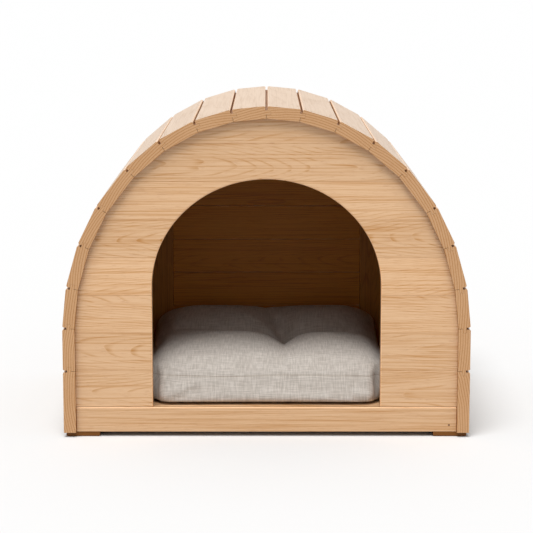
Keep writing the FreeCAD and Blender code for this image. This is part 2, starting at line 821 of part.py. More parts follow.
def cushion_section(share):
    """Closed wire across the cushion at a share of its half depth from the middle."""
    lip = size("cushion_lip") / 2
    seam_height = size("cushion_seam_height")
    end = abs(share)
    swell = math.sqrt(1 - end ** CROWN_POWER)
    pull = math.exp(-((share / TUFT_REACH) ** 2))
    crown = size("cushion_height") - seam_height + size("cushion_back_lift") * share / 2
    rise = lip + (crown - lip) * swell
    drop = lip + (seam_height - lip) * math.sqrt(1 - end ** BASE_POWER)
    crest = rise - CREST_PULL * size("tuft_depth") * pull
    dip = rise - size("tuft_depth") * (CHANNEL_SHARE * swell + (1 - CHANNEL_SHARE) * pull)
    waist = size("cushion_waist") * (1 - end ** 2)
    corner = CORNER_SHARE * size("cushion_edge_round") * end ** CORNER_POWER
    half = size("cushion_width") / 2 - waist - corner
    inward = size("cushion_edge_round") * (THIN_EDGE_SHARE + (1 - THIN_EDGE_SHARE) * swell)
    shoulder = half - inward
    base = half - BASE_TUCK_SHARE * inward
    turn = SHOULDER_SHARE * crest
    tuft_x = size("tuft_offset")
    left_lobe = (tuft_x - shoulder) / 2
    right_lobe = (tuft_x + shoulder) / 2

    def point(across, height):
        return Vector(across, share * cushion_half_depth, seam_height + height)

    def arc(*places):
        return Part.Arc(*[point(*place) for place in places]).toShape()

    underside = Part.LineSegment(point(-base, -drop), point(base, -drop)).toShape()
    right_side = arc((base, -drop), (half, 0), (shoulder, turn))
    right_top = arc((shoulder, turn), (right_lobe, crest), (tuft_x, dip))
    left_top = arc((tuft_x, dip), (left_lobe, crest), (-shoulder, turn))
    left_side = arc((-shoulder, turn), (-half, 0), (-base, -drop))
    return Part.Wire([underside, right_side, right_top, left_top, left_side])


def cushion_form():
    """The cushion's outer form about its middle, flat where it rests on its base at zero."""
    steps = range(-SECTIONS_PER_HALF, SECTIONS_PER_HALF + 1)
    shares = [math.sin(math.pi / 2 * step / SECTIONS_PER_HALF) for step in steps]
    form = Part.makeLoft([cushion_section(share) for share in shares], True, False)
    room = 2 * max(size("cushion_width"), size("house_depth"))
    return form.common(Part.makeBox(room, room, room, Vector(-room / 2, -room / 2, 0)))


def drawn_in(form, inset):
    """A smaller copy of a form, drawn in by an inset on every side of its box."""
    box = form.BoundBox
    shrink = FreeCAD.Matrix()
    shrink.move(-box.Center)
    shrink.scale(
        1 - 2 * inset / box.XLength, 1 - 2 * inset / box.YLength, 1 - 2 * inset / box.ZLength
    )
    shrink.move(box.Center)
    return form.transformGeometry(shrink)


outer_form = cushion_form()
cavity = drawn_in(outer_form, size("cover_thickness"))
seat = Vector(0, cushion_middle_y, cushion_base_z)
cover = doc.addObject("Part::Feature", "cushion_cover_shell")
cover.Shape = outer_form.cut(cavity)
cover.Placement.Base = seat
keep("cushion_cover", cover)
filling = doc.addObject("Part::Feature", "cushion_filling")
filling.Shape = drawn_in(outer_form, size("cover_thickness") + size("filling_gap"))
filling.Placement.Base = seat
keep("cushion_fill", filling)

doc.recompute()
failed = [item.Name for item in doc.Objects if "Invalid" in item.State or "Error" in item.State]
failed += [item.Label for item in nodes if item.Shape.isNull() or not item.Shape.isValid()]
if failed:
    raise RuntimeError("failed pieces: " + ", ".join(failed))

os.makedirs("parts", exist_ok=True)
for item in nodes:
    item.Shape.exportStep("parts/%s.step" % item.Label)
    print(item.Label, len(item.Shape.Solids), "solids", round(item.Shape.Volume / 1000, 2), "cm3")
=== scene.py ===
import math

import bpy
import numpy as np
from mathutils import Matrix, Vector


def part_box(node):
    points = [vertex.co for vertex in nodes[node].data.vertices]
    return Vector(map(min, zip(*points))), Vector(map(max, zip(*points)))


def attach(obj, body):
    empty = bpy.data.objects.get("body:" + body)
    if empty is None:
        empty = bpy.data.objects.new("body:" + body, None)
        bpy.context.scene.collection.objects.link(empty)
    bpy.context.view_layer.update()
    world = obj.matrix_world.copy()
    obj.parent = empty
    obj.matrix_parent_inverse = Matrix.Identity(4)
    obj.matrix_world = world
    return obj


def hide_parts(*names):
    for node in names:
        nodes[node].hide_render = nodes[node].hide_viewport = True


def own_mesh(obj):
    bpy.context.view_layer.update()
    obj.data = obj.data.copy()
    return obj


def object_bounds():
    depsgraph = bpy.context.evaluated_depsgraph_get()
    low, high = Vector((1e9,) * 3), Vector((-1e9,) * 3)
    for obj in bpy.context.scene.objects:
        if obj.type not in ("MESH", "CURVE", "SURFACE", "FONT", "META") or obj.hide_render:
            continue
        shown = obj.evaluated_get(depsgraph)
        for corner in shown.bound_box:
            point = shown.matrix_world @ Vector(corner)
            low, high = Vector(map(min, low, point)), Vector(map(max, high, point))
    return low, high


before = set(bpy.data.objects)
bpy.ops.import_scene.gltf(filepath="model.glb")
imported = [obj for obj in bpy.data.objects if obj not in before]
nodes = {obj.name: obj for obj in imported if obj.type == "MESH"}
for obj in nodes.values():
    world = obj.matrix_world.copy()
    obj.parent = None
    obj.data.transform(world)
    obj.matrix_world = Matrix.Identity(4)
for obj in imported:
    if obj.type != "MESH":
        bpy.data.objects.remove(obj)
cad_low, cad_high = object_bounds()


# Feet
# Four square pads under the corners, sawn from hardwood and stained dark brown. Each is held
# by two screws that go up into the rails, and its lower edges are eased.

ALONG_X = Vector((1, 0, 0))
ALONG_Y = Vector((0, 1, 0))
ALONG_Z = Vector((0, 0, 1))


def add_node(tree, kind, feeds=None, **options):
    """Put a node in a tree, set its options and feed its inputs with sockets or plain values."""
    node = tree.nodes.new("ShaderNode" + kind)
    for option, value in options.items():
        setattr(node, option, value)
    for key, feed in (feeds or {}).items():
        if isinstance(feed, bpy.types.NodeSocket):
            tree.links.new(feed, node.inputs[key])
        else:
            node.inputs[key].default_value = feed
    return node


def calc(tree, operation, *feeds):
    """The result of a sum on one, two or three values."""
    return add_node(tree, "Math", dict(enumerate(feeds)), operation=operation).outputs[0]


def reckon(tree, operation, *feeds):
    """The vector that a sum on vectors gives."""
    return add_node(tree, "VectorMath", dict(enumerate(feeds)), operation=operation).outputs[0]


def measure(tree, operation, *feeds):
    """The number that a sum on vectors gives, such as a length or a dot product."""
    return add_node(tree, "VectorMath", dict(enumerate(feeds)), operation=operation).outputs["Value"]


def parts_of(tree, vector):
    """The three numbers of a vector."""
    return add_node(tree, "SeparateXYZ", {0: vector}).outputs


def ramp(tree, value, start, end, low=0.0, high=1.0):
    """A smooth step: low up to start, high from end on, and an even S between them."""
    feeds = {"Value": value, "From Min": start, "From Max": end, "To Min": low, "To Max": high}
    return add_node(tree, "MapRange", feeds, interpolation_type="SMOOTHSTEP").outputs[0]


def tint(tree, share, colour, other, mode="MIX"):
    """A share of another colour over a colour."""
    feeds = {0: share, 6: colour, 7: other}
    return add_node(tree, "Mix", feeds, data_type="RGBA", blend_type=mode).outputs[2]


def speckle(tree, place, stretch, detail=2.0, output=0):
    """Noise on a place that is stretched by so many cycles per metre along each axis."""
    feeds = {"Vector": reckon(tree, "MULTIPLY", place, stretch), "Scale": 1.0, "Detail": detail}
    return add_node(tree, "TexNoise", feeds).outputs[output]


def chance_of(tree, seed):
    """Three even random numbers for a seed, as a colour."""
    return add_node(tree, "TexWhiteNoise", {"W": seed}, noise_dimensions="1D").outputs["Color"]


def new_group(name, inputs, outputs):
    """An empty shader group with named sockets, and its inner input and output sockets."""
    tree = bpy.data.node_groups.new(name, "ShaderNodeTree")
    for label, kind in inputs.items():
        tree.interface.new_socket(label, in_out="INPUT", socket_type="NodeSocket" + kind)
    for label, kind in outputs.items():
        tree.interface.new_socket(label, in_out="OUTPUT", socket_type="NodeSocket" + kind)
    given = tree.nodes.new("NodeGroupInput").outputs
    made = tree.nodes.new("NodeGroupOutput").inputs
    return tree, given, made


def give(tree, made, outputs):
    """Link a group's results to its outputs by name."""
    for label, socket in outputs.items():
        tree.links.new(socket, made[label])


# Noise is stretched by cycles per metre along the grain, across it and into the board, and a
# ramp is given by its start and end and, where they aren't nothing and one, its low and high.
BOARD_STEP = (9.0, 5.0, 7.0)
SWAY_CYCLES = (3.6, 13.0, 13.0)
SWAY = 0.018
HEART_SPREAD = 0.1
LEAN_SPREAD = 0.18
ACROSS_GRAIN = (0.0, 1.0, 1.0)
UNEVEN_CYCLES = (6.0, 60.0, 60.0)
UNEVEN = 0.0035
LINE_RISE = (0.66, 0.93)
LINE_FALL = (1.0, 0.95)
LINE_WEIGHT = (0.0, 1.0, 0.6, 1.25)
FADING_CYCLES = (6.0, 240.0, 240.0)
FADING = (0.35, 0.65, 0.1, 1.0)
BAND_CYCLES = (6.0, 460.0, 460.0)
BAND = (0.42, 0.72, 0.0, 0.6)
BAND_ON_ENDS = (0.0, 1.0, 1.0, 0.25)
FIBRE_CYCLES = (16.0, 1100.0, 1100.0)
FIBRE_WEIGHT = 0.46
CLOUD_CYCLES = (1.5, 14.0, 14.0)
CLOUD_WEIGHT = 0.34
CLOUD_LOW = -0.13
PORE_CYCLES = (70.0, 1700.0, 1700.0)
PORE = (0.58, 0.7)
PORE_IN_RING = (0.5, 0.1, 0.2, 1.0)
PORE_WEIGHT = 0.35
SOAKED = (0.83, 0.75, 0.65, 1)
PLAIN_ROUGHNESS = 0.42
FIBRE_ROUGHNESS = 0.22
PORE_ROUGHNESS = 0.15
FIBRE_RELIEF = 0.5
LINE_RELIEF = 0.3


def oak_figure():
    """Group: a board sawn from a log, on board coordinates with X along the grain, in metres.

    The rings are distances from a heart line that lies under the board and wanders a little;
    a slow taper along X opens them into pointed arches where the face runs along a ring.
    Thin dark lines end the rings and fade in and out along the grain, over soft bands of
    fibre, slow clouds of tone and short open pores.
    """
    tree, given, made = new_group(
        "oak_figure",
        {
            "Place": "Vector",
            "Seed": "Float",
            "End Grain": "Float",
            "Ring Width": "Float",
            "Heart Depth": "Float",
            "Heart Aside": "Float",
            "Wander": "Float",
            "Early Wood": "Color",
            "Late Wood": "Color",
        },
        {"Color": "Color", "Roughness": "Float", "Height": "Float"},
    )
    chance = chance_of(tree, given["Seed"])
    place = reckon(tree, "MULTIPLY_ADD", chance, BOARD_STEP, given["Place"])
    sway = speckle(tree, place, SWAY_CYCLES, output=1)
    sway = reckon(tree, "MULTIPLY_ADD", sway, (0.0, SWAY, SWAY), (0.0, -SWAY / 2, -SWAY / 2))
    sway = reckon(tree, "MULTIPLY", sway, given["Wander"])
    aside = calc(tree, "MULTIPLY_ADD", parts_of(tree, chance)[1], HEART_SPREAD, -HEART_SPREAD / 2)
    aside = calc(tree, "ADD", aside, given["Heart Aside"])
    under = calc(tree, "MULTIPLY", given["Heart Depth"], -1.0)
    heart = add_node(tree, "CombineXYZ", {1: aside, 2: under}).outputs[0]
    from_heart = reckon(tree, "SUBTRACT", reckon(tree, "ADD", given["Place"], sway), heart)
    radius = measure(tree, "LENGTH", reckon(tree, "MULTIPLY", from_heart, ACROSS_GRAIN))
    lean = calc(tree, "MULTIPLY_ADD", parts_of(tree, chance)[2], LEAN_SPREAD, -LEAN_SPREAD / 2)
    lean = calc(tree, "MULTIPLY", lean, given["Wander"])
    taper = calc(tree, "MULTIPLY", lean, parts_of(tree, given["Place"])[0])
    uneven = calc(tree, "MULTIPLY", speckle(tree, place, UNEVEN_CYCLES, 1.0), UNEVEN)
    uneven = calc(tree, "MULTIPLY", uneven, given["Wander"])
    radius = calc(tree, "ADD", calc(tree, "ADD", radius, taper), uneven)
    ring = calc(tree, "FRACT", calc(tree, "DIVIDE", radius, given["Ring Width"]))
    line = calc(tree, "MULTIPLY", ramp(tree, ring, *LINE_RISE), ramp(tree, ring, *LINE_FALL))
    fading = ramp(tree, speckle(tree, place, FADING_CYCLES, 1.0), *FADING)
    line = calc(tree, "MULTIPLY", line, calc(tree, "MAXIMUM", fading, given["End Grain"]))
    band = ramp(tree, speckle(tree, place, BAND_CYCLES, 3.0), *BAND)
    band = calc(tree, "MULTIPLY", band, ramp(tree, given["End Grain"], *BAND_ON_ENDS))
    fibre = speckle(tree, place, FIBRE_CYCLES, 2.0)
    cloud = speckle(tree, place, CLOUD_CYCLES, 1.0)
    pore = ramp(tree, speckle(tree, place, PORE_CYCLES, 1.0), *PORE)
    pore = calc(tree, "MULTIPLY", pore, ramp(tree, ring, *PORE_IN_RING))
    weight = ramp(tree, given["End Grain"], *LINE_WEIGHT)
    depth = calc(tree, "MULTIPLY_ADD", line, weight, band)
    fibre_depth = calc(tree, "MULTIPLY_ADD", fibre, FIBRE_WEIGHT, -FIBRE_WEIGHT / 2)
    cloud_depth = calc(tree, "MULTIPLY_ADD", cloud, CLOUD_WEIGHT, CLOUD_LOW)
    depth = calc(tree, "ADD", calc(tree, "ADD", depth, fibre_depth), cloud_depth)
    colour = tint(tree, depth, given["Early Wood"], given["Late Wood"])
    pore_depth = calc(tree, "MULTIPLY", pore, PORE_WEIGHT)
    colour = tint(tree, pore_depth, colour, given["Late Wood"], "MULTIPLY")
    soaked = tint(tree, 1.0, colour, SOAKED, "MULTIPLY")
    gloss = calc(tree, "MULTIPLY_ADD", pore, PORE_ROUGHNESS, PLAIN_ROUGHNESS)
    gloss = calc(tree, "MULTIPLY_ADD", fibre, FIBRE_ROUGHNESS, gloss)
    relief = calc(tree, "MULTIPLY_ADD", pore, -1.0, calc(tree, "MULTIPLY", fibre, FIBRE_RELIEF))
    outputs = {
        "Color": tint(tree, given["End Grain"], colour, soaked),
        "Roughness": gloss,
        "Height": calc(tree, "MULTIPLY_ADD", line, LINE_RELIEF, relief),
    }
    give(tree, made, outputs)
    return tree


OAK_FIGURE = oak_figure()
GRAIN_RELIEF = 0.00025
GRAIN_STRENGTH = 0.5
RING_WIDTH = 0.0024
HEART_DEPTH = 0.04
WANDER = 0.9
WOOD_SHINE = 0.28
LACQUER = 0.5
LACQUER_ROUGHNESS = 0.3
# Eased edges are paler: partly wear, partly a painted highlight of light on the rounding.
WEAR_AND_HIGHLIGHT = (1.3, 1.27, 1.24, 1)
# Painted shade in the slots of the joints, beside the outer face.
JOINT_SHADE = (0.42, 0.3, 0.2, 1)

# A lean is a ramp of how squarely a surface looks out of the board's face or along its grain.
EDGE_LEAN = (0.985, 0.9)
END_LEAN = (0.7, 0.95)
FACE_LEAN = (0.3, 0.75)
FACE_DEPTH = (-0.004, -0.002)
INNER_LEAN = (-0.4, -0.8)
JOINT_LEAN = (-0.8, -0.6)
JOINT_END_LEAN = (0.5, 0.3)


def board_frame(tree, spot, along, out, middle):
    """Board coordinates about a middle: X along the grain, Z out of the face."""
    turn = Matrix((along, out.cross(along), out))
    feeds = {"Vector": spot["Object"], "Location": -(turn @ middle), "Rotation": turn.to_euler()}
    return add_node(tree, "Mapping", feeds).outputs[0]


def worn_and_highlit_edges():
    """Group: one on an eased edge, where the normal leans half way from the face to the side."""
    tree, given, made = new_group("worn_and_highlit_edges", {"Facing": "Float"}, {"Edge": "Float"})
    square = calc(tree, "MULTIPLY", given["Facing"], given["Facing"])
    sideways = calc(tree, "SQRT", calc(tree, "SUBTRACT", 1.0, square))
    flat = calc(tree, "MAXIMUM", calc(tree, "ABSOLUTE", given["Facing"]), sideways)
    give(tree, made, {"Edge": ramp(tree, flat, *EDGE_LEAN)})
    return tree


WORN_AND_HIGHLIT_EDGES = worn_and_highlit_edges()


def oak(name, along, out, middle, seed, tones, face=None, inner_shade=None, planks=None, **log):
    """Lacquered oak for one board, paler along its eased edges from wear and a painted highlight.

    tones are its early and late wood; face, where given, is another pair on its outer face,
    which then holds the middle, and the slots beside that face are darker as painted shade,
    with no lacquer. A colour given for the inner face darkens it as painted shade, and that face
    has no lacquer. planks, where given, is a group that splits the board into glued planks, and
    log may hold another heart depth or aside, ring width, wander of the grain or weight of
    lacquer than usual.
    """
    material = bpy.data.materials.new(name)
    material.use_nodes = True
    tree = material.node_tree
    spot = add_node(tree, "TexCoord").outputs
    place = board_frame(tree, spot, along, out, middle)
    facing = measure(tree, "DOT_PRODUCT", spot["Normal"], out)
    end = calc(tree, "ABSOLUTE", measure(tree, "DOT_PRODUCT", spot["Normal"], along))
    early, late = tones
    if face:
        near = ramp(tree, parts_of(tree, place)[2], *FACE_DEPTH)
        outside = calc(tree, "MULTIPLY", near, ramp(tree, facing, *FACE_LEAN))
        early = tint(tree, outside, early, face[0])
        late = tint(tree, outside, late, face[1])
    if planks:
        whole = {"Place": place, "First Seed": seed}
        glued = add_node(tree, "Group", whole, node_tree=planks).outputs
        place, seed = glued["Place"], glued["Seed"]
    feeds = {
        "Place": place,
        "Seed": seed,
        "End Grain": ramp(tree, end, *END_LEAN),
        "Ring Width": log.get("ring_width", RING_WIDTH),
        "Heart Depth": log.get("heart_depth", HEART_DEPTH),
        "Heart Aside": log.get("heart_aside", 0.0),
        "Wander": log.get("wander", WANDER),
        "Early Wood": early,
        "Late Wood": late,
    }
    figure = add_node(tree, "Group", feeds, node_tree=OAK_FIGURE).outputs
    colour = figure["Color"]
    if planks:
        colour = tint(tree, 1.0, colour, glued["Tone"], "MULTIPLY")
    # Paler along the eased edges: wear and a painted highlight.
    edge = add_node(tree, "Group", {"Facing": facing}, node_tree=WORN_AND_HIGHLIT_EDGES).outputs["Edge"]
    colour = tint(tree, edge, colour, WEAR_AND_HIGHLIGHT, "MULTIPLY")
    shader = tree.nodes["Principled BSDF"]
    lacquer = log.get("lacquer", LACQUER)
    if face:
        # The slots beside the outer face get painted shade and lose their lacquer.
        beside = ramp(tree, end, *JOINT_END_LEAN)
        sunk = calc(tree, "MULTIPLY", ramp(tree, facing, *JOINT_LEAN), beside)
        sunk = calc(tree, "MULTIPLY", sunk, calc(tree, "SUBTRACT", 1.0, near))
        colour = tint(tree, sunk, colour, JOINT_SHADE, "MULTIPLY")
        lacquer = calc(tree, "MULTIPLY", lacquer, calc(tree, "SUBTRACT", 1.0, sunk))
    # The inner face gets painted shade and loses its lacquer.
    if inner_shade:
        inside = ramp(tree, facing, *INNER_LEAN)
        colour = tint(tree, inside, colour, inner_shade, "MULTIPLY")
        lacquer = calc(tree, "MULTIPLY", lacquer, calc(tree, "SUBTRACT", 1.0, inside))
        tree.links.new(lacquer, shader.inputs["Coat Weight"])
    else:
        shader.inputs["Coat Weight"].default_value = lacquer
    shader.inputs["Specular IOR Level"].default_value = WOOD_SHINE
    shader.inputs["Coat Roughness"].default_value = LACQUER_ROUGHNESS
    tree.links.new(colour, shader.inputs["Base Color"])
    tree.links.new(figure["Roughness"], shader.inputs["Roughness"])
    relief = {"Height": figure["Height"], "Distance": GRAIN_RELIEF, "Strength": GRAIN_STRENGTH}
    tree.links.new(add_node(tree, "Bump", relief).outputs[0], shader.inputs["Normal"])
    return material


def middle_of(node):
    """Middle of a node's box."""
    low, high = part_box(node)
    return (low + high) / 2


def dress(node, material):
    """Give a CAD node one material in place of its plain one."""
    slots = nodes[node].data.materials
    slots.clear()
    slots.append(material)


FOOT_TONES = ((0.215, 0.078, 0.01, 1), (0.13, 0.04, 0.004, 1))
FEET = ("foot_front_left", "foot_front_right", "foot_back_left", "foot_back_right")
for seed, foot in enumerate(FEET, start=1):
    wood = oak(foot + "_wood", ALONG_X, ALONG_Z, middle_of(foot), seed, FOOT_TONES, lacquer=0)
    dress(foot, wood)


# Base frame
# Four planed oak rails doweled at the corners, with two ledgers and a bearer that carry the
# floor. The grain runs along each piece, the edges of the front and back rails are rounded
# over, and the front rail has one pin knot.

HONEY = ((0.765, 0.49, 0.28, 1), (0.52, 0.24, 0.066, 1))
FRAME_PIECES = {
    "front_rail": (ALONG_X, -ALONG_Y),
    "back_rail": (ALONG_X, ALONG_Y),
    "left_rail": (ALONG_Y, -ALONG_X),
    "right_rail": (ALONG_Y, ALONG_X),
    "front_ledger": (ALONG_X, -ALONG_Y),
    "back_ledger": (ALONG_X, ALONG_Y),
    "floor_bearer": (ALONG_Y, ALONG_Z),
    "frame_dowels": (ALONG_Y, ALONG_Z),
}
RAIL_LOG = {"heart_depth": 0.02, "heart_aside": 0.25, "ring_width": 0.0024, "wander": 0.35}
PIN_KNOT = (0.2706, -0.2185, 0.0173)
PIN_KNOT_RADIUS = 0.0014
KNOT_RIM = 1.6
KNOT_CORE = 0.5
KNOT_BROWN = (0.12, 0.05, 0.018, 1)


def add_knot(material, place, radius):
    """Darken a board's colour round one small knot: a smooth spot by distance from its place."""
    tree = material.node_tree
    spot = add_node(tree, "TexCoord").outputs["Object"]
    away = measure(tree, "DISTANCE", spot, place)
    share = ramp(tree, away, KNOT_RIM * radius, KNOT_CORE * radius)
    base = tree.nodes["Principled BSDF"].inputs["Base Color"]
    tree.links.new(tint(tree, share, base.links[0].from_socket, KNOT_BROWN), base)


EASED_RAILS = ("front_rail", "back_rail")
RAIL_EASE = 0.0013
EASE_STEPS = 2
EASE_ANGLE = math.radians(60)
MERGE_REACH = 0.00002


def ease_edges(node, width):
    """Round a CAD node's square edges by a width, once its loose triangles are joined up.

    The width holds all over, also where the small facets of a hole lie beside an edge.
    """
    piece = nodes[node]
    weld = piece.modifiers.new("join", "WELD")
    weld.merge_threshold = MERGE_REACH
    bevel = piece.modifiers.new("ease", "BEVEL")
    bevel.width = width
    bevel.segments = EASE_STEPS
    bevel.angle_limit = EASE_ANGLE
    bevel.harden_normals = True
    bevel.use_clamp_overlap = False


for rail in EASED_RAILS:
    ease_edges(rail, RAIL_EASE)
for seed, (piece, (along, out)) in enumerate(FRAME_PIECES.items(), start=11):
    dress(piece, oak(piece + "_wood", along, out, middle_of(piece), seed, HONEY, **RAIL_LOG))
add_knot(bpy.data.materials["front_rail_wood"], PIN_KNOT, PIN_KNOT_RADIUS)


# Floor
# A sheet of plywood let in between the rails and screwed down on the ledgers. Its faces are
# rotary-cut veneer with a broad figure, and its edges show the crossed plies.

PLY = ((0.70, 0.49, 0.30, 1), (0.52, 0.33, 0.18, 1))
VENEER_HEART = 0.012
VENEER_SEED = 30
PLY_COUNT = 7
PLY_LEAN = (0.8, 0.5)
CROSSED_PLY = (0.42, 0.30, 0.21, 1)


def plywood(name, node):
    """Veneer on the faces, as oak, and on the edges even plies, darker where they are crossed."""
    middle = middle_of(node)
    material = oak(name, ALONG_X, ALONG_Z, middle, VENEER_SEED, PLY, heart_depth=VENEER_HEART)
    tree = material.node_tree
    spot = add_node(tree, "TexCoord").outputs
    low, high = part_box(node)
    height = calc(tree, "SUBTRACT", parts_of(tree, spot["Object"])[2], low.z)
    ply = calc(tree, "MULTIPLY", height, PLY_COUNT / (high.z - low.z))
    crossed = calc(tree, "FLOORED_MODULO", calc(tree, "FLOOR", ply), 2.0)
    sideways = calc(tree, "ABSOLUTE", parts_of(tree, spot["Normal"])[2])
    on_edge = ramp(tree, sideways, *PLY_LEAN)
    base = tree.nodes["Principled BSDF"].inputs["Base Color"]
    share = calc(tree, "MULTIPLY", crossed, on_edge)
    tree.links.new(tint(tree, share, base.links[0].from_socket, CROSSED_PLY, "MULTIPLY"), base)
    return material


dress("floor_panel", plywood("floor_plywood", "floor_panel"))


# Front panel
# One wide panel glued up edge to edge from oak planks, with the grain lying across, cut to the
# vault and pierced by the arched doorway. The rim of the doorway is rounded over.

PLANK_HEIGHT = 0.056
PLANK_START = 0.0442
PLANK_SEED = 40
# Tones only rise: a random plank tone, and painted light against the staves' shadow.
PLANK_LIFT = 0.13
GLUE_SEAM = (0.484, 0.499)
SEAM_BROWN = (0.80, 0.70, 0.58, 1)


def glued_planks():
    """Group: splits a board's Y into planks with own seeds and lifted tones, and glue lines."""
    tree, given, made = new_group(
        "glued_planks",
        {"Place": "Vector", "First Seed": "Float"},
        {"Place": "Vector", "Seed": "Float", "Tone": "Color"},
    )
    parts = parts_of(tree, given["Place"])
    count = calc(tree, "DIVIDE", parts[1], PLANK_HEIGHT)
    plank = calc(tree, "FLOOR", count)
    share = calc(tree, "SUBTRACT", calc(tree, "SUBTRACT", count, plank), 0.5)
    across = calc(tree, "MULTIPLY", share, PLANK_HEIGHT)
    seed = calc(tree, "ADD", plank, given["First Seed"])
    chance = parts_of(tree, chance_of(tree, seed))[0]
    # Lifted by up to PLANK_LIFT: partly random tone, partly painted light.
    lift = calc(tree, "MULTIPLY_ADD", chance, PLANK_LIFT, 1.0)
    seam = ramp(tree, calc(tree, "ABSOLUTE", share), *GLUE_SEAM)
    outputs = {
        "Place": add_node(tree, "CombineXYZ", {0: parts[0], 1: across, 2: parts[2]}).outputs[0],
        "Seed": seed,
        "Tone": tint(tree, seam, lift, SEAM_BROWN),
    }
    give(tree, made, outputs)
    return tree


panel_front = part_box("front_panel")[0].y
first_seam = Vector((0, panel_front, PLANK_START))
planks = glued_planks()
panel_oak = oak("panel_oak", ALONG_X, -ALONG_Y, first_seam, PLANK_SEED, HONEY, planks=planks)
dress("front_panel", panel_oak)


# Back wall
# Seven oak boards lie edge to edge across the back, screwed to two pairs of upright battens.
# Outside they are lacquered like the front; inside, boards and battens are darkened to a deep
# brown as painted shade, with no lacquer.

# Painted shade: the inner faces darken to the deep brown of the house's shaded inside.
INSIDE_PAINTED_SHADE = (0.73, 0.42, 0.055, 1)
back_boards = sorted(name for name in nodes if name.startswith("back_board_"))
for seed, board in enumerate(back_boards, start=60):
    wood = oak(board + "_wood", ALONG_X, ALONG_Y, middle_of(board), seed, HONEY, inner_shade=INSIDE_PAINTED_SHADE)
    dress(board, wood)

# The battens stand inside; their dark tones are painted shade over the oak's grain.
BATTEN_SHADED_TONES = ((0.42, 0.16, 0.018, 1), (0.27, 0.085, 0.008, 1))
battens = sorted(name for name in nodes if name.startswith("batten_") and name != "batten_screws")
for seed, batten in enumerate(battens, start=70):
    middle = middle_of(batten)
    wood = oak(batten + "_wood", ALONG_Z, -ALONG_Y, middle, seed, BATTEN_SHADED_TONES, lacquer=0)
    dress(batten, wood)


# Staves
# Twenty planed oak boards, tongued and grooved along their edges, bridge the front and back
# walls. Their outer faces are pale, partly their own tone and partly a painted sheen of light
# reflected at a grazing angle. Their sawn ends are darker where the lacquer soaks in, and their
# inner faces and the slots of their joints carry painted shade.

# The outer faces' tone: partly the planed wood's own, partly a painted sheen.
PALE_AND_SHEEN = ((0.575, 0.405, 0.268, 1), (0.44, 0.275, 0.145, 1))
STAVE_HEART = 0.28
STAVE_RINGS = 0.0036
STAVE_WANDER = 0.3
# Painted shade on the inner faces, inside the house and where they overhang the front panel.
STAVE_PAINTED_SHADE = (0.42, 0.23, 0.03, 1)
HOUSE_AXIS_SHARE = 0.4
FACE_AGREES = 0.8


def outer_face(node):
    """A stave's outer face: its direction, the mean normal by area of what looks outwards, and
    its middle, which lies over the middle of the stave as far out as any point of it."""
    mesh = nodes[node].data
    normals = np.empty(len(mesh.polygons) * 3)
    areas = np.empty(len(mesh.polygons))
    mesh.polygons.foreach_get("normal", normals)
    mesh.polygons.foreach_get("area", areas)
    normals = normals.reshape(-1, 3)
    middle = middle_of(node)
    guess = Vector((middle.x, 0, middle.z - HOUSE_AXIS_SHARE * cad_high.z)).normalized()
    outward = normals @ np.array(guess) > FACE_AGREES
    mean = (normals * (areas * outward)[:, None]).sum(axis=0)
    out = Vector((mean[0], 0, mean[2])).normalized()
    points = np.empty(len(mesh.vertices) * 3, np.float32)
    mesh.vertices.foreach_get("co", points)
    furthest = (points.reshape(-1, 3) @ np.array(out)).max()
    return out, middle + out * (furthest - middle.dot(out))


staves = sorted(name for name in nodes if name.startswith("stave_") and name != "stave_nails")
for seed, stave in enumerate(staves, start=80):
    out, face_middle = outer_face(stave)
    wood = oak(
        stave + "_wood",
        ALONG_Y,
        out,
        face_middle,
        seed,
        HONEY,
        face=PALE_AND_SHEEN,
        inner_shade=STAVE_PAINTED_SHADE,
        heart_depth=STAVE_HEART,
        ring_width=STAVE_RINGS,
        wander=STAVE_WANDER,
    )
    dress(stave, wood)


# Brads and screws
# Headless steel brads hold the staves to the walls, and countersunk screws hold the back
# boards, the floor and the feet. The brads are dark with oxide, the screws passivated yellow.

OXIDE_CYCLES = (900.0, 900.0, 900.0)
OXIDE = (0.3, 0.7)
OXIDE_ROUGHNESS = 0.25


def dull_steel(name, colour, worn, roughness):
    """Metal with a blotchy oxide: noise mixes a worn tone in and varies the gloss."""
    material = bpy.data.materials.new(name)
    material.use_nodes = True
    tree = material.node_tree
    spot = add_node(tree, "TexCoord").outputs["Object"]
    blotch = speckle(tree, spot, OXIDE_CYCLES, 4.0)
    shader = tree.nodes["Principled BSDF"]
    shader.inputs["Metallic"].default_value = 1.0
    mixed = tint(tree, ramp(tree, blotch, *OXIDE), colour, worn)
    tree.links.new(mixed, shader.inputs["Base Color"])
    gloss = calc(tree, "MULTIPLY_ADD", blotch, OXIDE_ROUGHNESS, roughness)
    tree.links.new(gloss, shader.inputs["Roughness"])
    return material


BRAD_DARK = (0.03, 0.018, 0.011, 1)
BRAD_WORN = (0.065, 0.047, 0.034, 1)
BRAD_ROUGHNESS = 0.4
dress("stave_nails", dull_steel("brad_steel", BRAD_DARK, BRAD_WORN, BRAD_ROUGHNESS))
SCREW_YELLOW = (0.55, 0.43, 0.2, 1)
SCREW_WORN = (0.42, 0.38, 0.3, 1)
SCREW_ROUGHNESS = 0.25
screw_steel = dull_steel("screw_steel", SCREW_YELLOW, SCREW_WORN, SCREW_ROUGHNESS)
for group in ("batten_screws", "floor_screws", "foot_screws"):
    dress(group, screw_steel)


# Cushion
# A loose pad of fibre in a natural linen cover, sewn round the middle of its sides and pulled
# down by one tuft that divides its top into four lobes. It lies on the floor panel.

